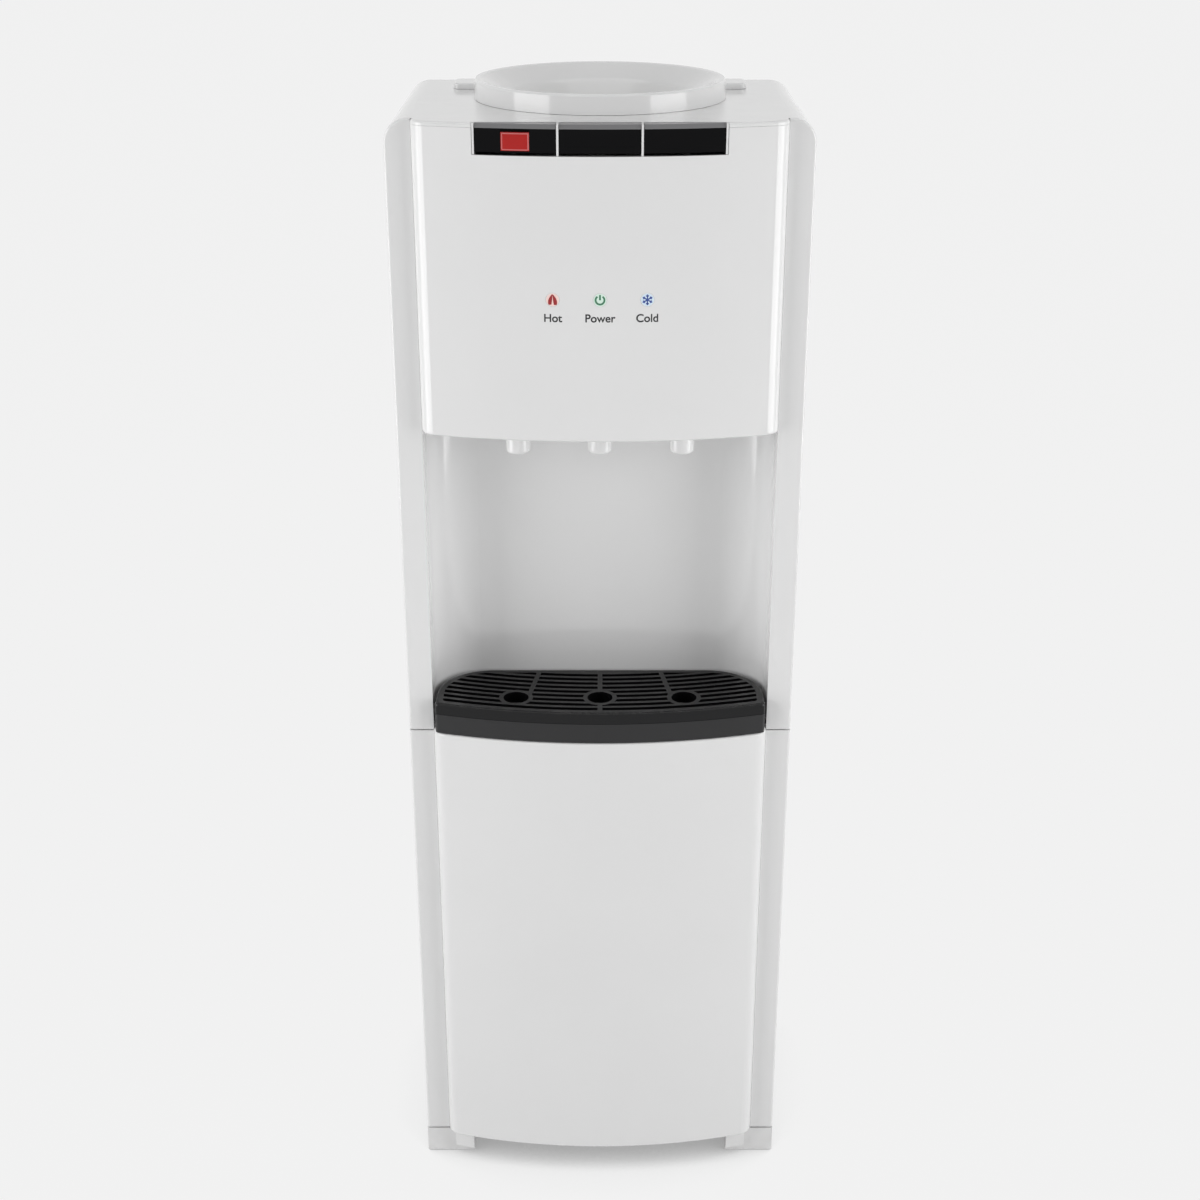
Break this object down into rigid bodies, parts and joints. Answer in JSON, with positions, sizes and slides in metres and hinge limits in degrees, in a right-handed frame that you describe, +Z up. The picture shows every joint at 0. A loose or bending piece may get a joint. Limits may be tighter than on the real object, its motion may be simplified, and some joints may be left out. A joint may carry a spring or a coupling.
{
  "type": "water dispenser",
  "caption": "Tall white floor-standing water dispenser with a bottle seat on top, push paddles, spouts in a niche and a black drip tray.",
  "frame": {"origin": "on the floor, at the centre of the footprint", "axes": "+Z up, -Y is the front with the paddles and the niche, +X is to the right seen from the front"},
  "size_m": [0.32, 0.275, 0.959],
  "materials": {
    "white_plastic": "smooth white gloss moulding",
    "white_paint": "white powder coat on sheet steel",
    "black_gloss": "polished black moulding",
    "black_plastic": "satin black moulding",
    "red_plastic": "red moulding",
    "green_plastic": "green moulding",
    "natural_plastic": "natural food-safe moulding",
    "steel": "plain stainless or zinc-plated steel",
    "rubber": "black rubber",
    "silicone": "translucent silicone",
    "lens": "pale light guide with a printed sign",
    "board": "green circuit board",
    "foam": "pale insulating foam",
    "copper": "bare copper tube",
    "black_paint": "black enamel on steel"
  },
  "bodies": {
    "cabinet": {"base_frame": "white_plastic", "top_cover": "white_plastic", "upper_front_frame": "white_plastic", "lower_front_frame": "white_plastic", "upper_front_panel": "white_plastic", "lower_front_panel": "white_plastic", "niche_liner": "white_plastic", "button_bezel": "white_plastic", "spout_nozzles": "white_plastic", "left_side_panel": "white_paint", "right_side_panel": "white_paint", "rear_panel": "white_paint", "switch_housings": "black_plastic", "relay_cover": "black_plastic", "cord_gland": "black_plastic", "hot_tap": "natural_plastic", "warm_tap": "natural_plastic", "cold_tap": "natural_plastic", "rear_screws": "steel", "tank_shelf": "steel", "hot_tank_bracket": "steel", "cold_tank": "steel", "hot_tank": "steel", "heater_band": "steel", "thermostats": "black_plastic", "foot_pads": "rubber", "compressor_grommets": "rubber", "tank_seal": "rubber", "cold_hose": "silicone", "warm_hose": "silicone", "hot_hose": "silicone", "feed_pipe": "silicone", "drain_pipe": "silicone", "indicator_lenses": "lens", "indicator_board": "board", "cold_tank_foam": "foam", "evaporator_coil": "copper", "discharge_pipe": "copper", "suction_pipe": "copper", "dryer": "copper", "compressor": "black_paint", "condenser": "black_paint"},
    "hot_button": {"hot_button": "black_gloss"},
    "warm_button": {"warm_button": "black_gloss"},
    "cold_button": {"cold_button": "black_gloss"},
    "child_lock": {"child_lock": "red_plastic"},
    "hot_rod": {"hot_lift_rod": "natural_plastic", "hot_return_spring": "steel"},
    "warm_rod": {"warm_lift_rod": "natural_plastic", "warm_return_spring": "steel"},
    "cold_rod": {"cold_lift_rod": "natural_plastic", "cold_return_spring": "steel"},
    "drip_tray": {"drip_tray": "black_plastic"},
    "drip_grille": {"drip_grille": "black_plastic"},
    "bottle_seat": {"bottle_seat": "white_plastic", "water_guide": "natural_plastic"},
    "hot_switch": {"hot_switch": "red_plastic"},
    "cold_switch": {"cold_switch": "green_plastic"},
    "drain_cap": {"drain_cap": "natural_plastic"}
  },
  "joints": [
    {"name": "hot_press", "type": "hinge", "parent": "cabinet", "child": "hot_button", "pos_m": [-0.0616, -0.12165, 0.932], "axis": [1, 0, 0], "range_deg": [0, 7], "stiffness_Nm_per_rad": 0.6, "springref_deg": -2.86},
    {"name": "hot_lift", "type": "slide", "parent": "cabinet", "child": "hot_rod", "axis": [0, 0, 1], "range_m": [0, 0.0033]},
    {"name": "warm_press", "type": "hinge", "parent": "cabinet", "child": "warm_button", "pos_m": [0, -0.12165, 0.932], "axis": [1, 0, 0], "range_deg": [0, 7], "stiffness_Nm_per_rad": 0.6, "springref_deg": -2.86},
    {"name": "warm_lift", "type": "slide", "parent": "cabinet", "child": "warm_rod", "axis": [0, 0, 1], "range_m": [0, 0.0033]},
    {"name": "cold_press", "type": "hinge", "parent": "cabinet", "child": "cold_button", "pos_m": [0.0616, -0.12165, 0.932], "axis": [1, 0, 0], "range_deg": [0, 7], "stiffness_Nm_per_rad": 0.6, "springref_deg": -2.86},
    {"name": "cold_lift", "type": "slide", "parent": "cabinet", "child": "cold_rod", "axis": [0, 0, 1], "range_m": [0, 0.0033]},
    {"name": "lock_slide", "type": "slide", "parent": "hot_button", "child": "child_lock", "axis": [0, 0, 1], "range_m": [0, 0.0016], "stiffness_N_per_m": 300, "springref_m": -0.001},
    {"name": "tray_pull", "type": "slide", "parent": "cabinet", "child": "drip_tray", "axis": [0, -1, 0], "range_m": [0, 0.1]},
    {"name": "grille_lift", "type": "slide", "parent": "drip_tray", "child": "drip_grille", "axis": [0, 0, 1], "range_m": [0, 0.04]},
    {"name": "seat_lift", "type": "slide", "parent": "cabinet", "child": "bottle_seat", "axis": [0, 0, 1], "range_m": [0, 0.1]},
    {"name": "hot_rocker", "type": "hinge", "parent": "cabinet", "child": "hot_switch", "pos_m": [0.128, 0.113, 0.8], "axis": [1, 0, 0], "range_deg": [-8, 8]},
    {"name": "cold_rocker", "type": "hinge", "parent": "cabinet", "child": "cold_switch", "pos_m": [0.128, 0.113, 0.765], "axis": [1, 0, 0], "range_deg": [-8, 8]},
    {"name": "cap_pull", "type": "slide", "parent": "cabinet", "child": "drain_cap", "axis": [0, 1, 0], "range_m": [0, 0.02]}
  ],
  "couplings": [
    {"joint": "hot_lift", "follows": "hot_press", "m_per_rad": 0.026},
    {"joint": "warm_lift", "follows": "warm_press", "m_per_rad": 0.026},
    {"joint": "cold_lift", "follows": "cold_press", "m_per_rad": 0.026}
  ]
}
